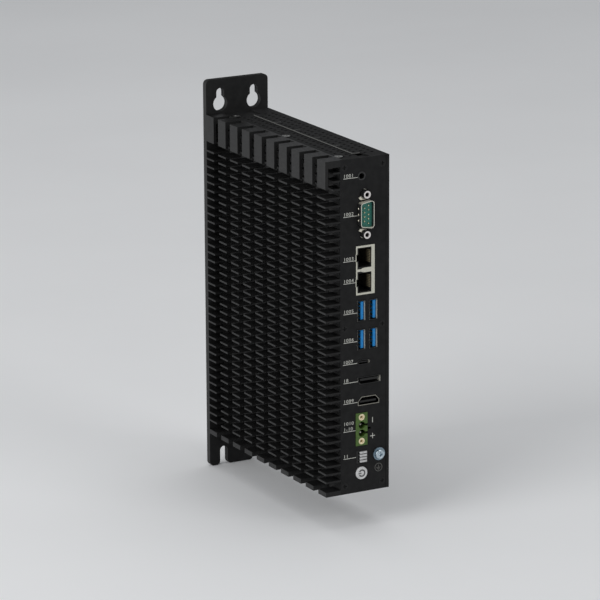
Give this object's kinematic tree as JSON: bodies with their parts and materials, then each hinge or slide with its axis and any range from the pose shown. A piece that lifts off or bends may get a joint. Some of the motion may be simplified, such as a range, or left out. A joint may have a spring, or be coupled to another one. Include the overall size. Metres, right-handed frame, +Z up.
{
  "type": "industrial computer",
  "caption": "Narrow fanless industrial computer with a finned side heat sink, a port panel on its front edge and a wall plate behind.",
  "frame": {"origin": "centre of the mounting plate's wall face, level with the middle of the case", "axes": "+Z up along the height, +Y from the port panel towards the wall, -X towards the fins"},
  "size_m": [0.0444, 0.1624, 0.2551],
  "materials": {
    "black_anodised": "satin black anodised",
    "black_paint": "fine black powder coat",
    "black_screw": "blackened steel",
    "bright_screw": "zinc plated steel",
    "blue_zinc": "blue zinc plated steel",
    "nickel": "satin nickel plate",
    "pale_cage": "warm nickel plate",
    "black_plastic": "matt black",
    "teal_plastic": "teal",
    "blue_plastic": "blue",
    "green_plastic": "green",
    "white_plastic": "white",
    "grey_button": "pale grey",
    "gilt": "gilt",
    "brass": "bright brass",
    "board_green": "green board",
    "chip_grey": "dark grey",
    "pad_grey": "soft grey pad",
    "bare_aluminium": "bare"
  },
  "bodies": {
    "case": {"heat_sink": "black_anodised", "chassis": "black_paint", "side_cover": "black_paint", "front_panel": "black_paint", "mounting_plate": "black_paint", "side_cover_screws": "black_screw", "panel_screws": "black_screw", "mounting_plate_screws": "black_screw", "case_screws": "bright_screw", "board_screws": "bright_screw", "mounting_plate_nuts": "bright_screw", "ground_nut": "bright_screw", "board_posts": "bright_screw", "port_board_spacers": "bright_screw", "ground_screw": "blue_zinc", "ground_washer": "blue_zinc", "serial_shell": "nickel", "serial_jack_screws": "nickel", "upper_data_sleeves": "nickel", "lower_data_sleeves": "nickel", "reversible_port_shell": "nickel", "display_port_shell": "nickel", "video_port_shell": "nickel", "clock_battery": "nickel", "network_cage": "pale_cage", "audio_jack": "black_plastic", "network_insert": "black_plastic", "reversible_port_tongue": "black_plastic", "display_port_tongue": "black_plastic", "video_port_tongue": "black_plastic", "switch_block": "black_plastic", "push_switch": "black_plastic", "board_link": "black_plastic", "memory_socket": "black_plastic", "storage_socket": "black_plastic", "battery_holder": "black_plastic", "serial_insert": "teal_plastic", "upper_data_tongues": "blue_plastic", "lower_data_tongues": "blue_plastic", "power_header": "green_plastic", "serial_pins": "gilt", "network_contacts": "gilt", "upper_data_contacts": "gilt", "lower_data_contacts": "gilt", "power_pins": "gilt", "power_bushes": "brass", "main_board": "board_green", "port_board": "board_green", "memory_module": "board_green", "storage_card": "board_green", "processor": "chip_grey", "power_coils": "chip_grey", "thermal_pad": "pad_grey", "heat_block": "bare_aluminium", "capacitors": "bare_aluminium"},
    "power_button": {"power_button": "grey_button"},
    "switch_lever_1": {"switch_lever_1": "white_plastic"},
    "switch_lever_2": {"switch_lever_2": "white_plastic"},
    "switch_lever_3": {"switch_lever_3": "white_plastic"},
    "switch_lever_4": {"switch_lever_4": "white_plastic"}
  },
  "joints": [
    {"name": "power_button_press", "type": "slide", "parent": "case", "child": "power_button", "axis": [0, 1, 0], "range_m": [0, 0.0008], "stiffness_N_per_m": 900, "springref_m": -0.0015},
    {"name": "switch_lever_1_slide", "type": "slide", "parent": "case", "child": "switch_lever_1", "axis": [-1, 0, 0], "range_m": [0, 0.0011]},
    {"name": "switch_lever_2_slide", "type": "slide", "parent": "case", "child": "switch_lever_2", "axis": [-1, 0, 0], "range_m": [0, 0.0011]},
    {"name": "switch_lever_3_slide", "type": "slide", "parent": "case", "child": "switch_lever_3", "axis": [-1, 0, 0], "range_m": [0, 0.0011]},
    {"name": "switch_lever_4_slide", "type": "slide", "parent": "case", "child": "switch_lever_4", "axis": [-1, 0, 0], "range_m": [0, 0.0011]}
  ]
}
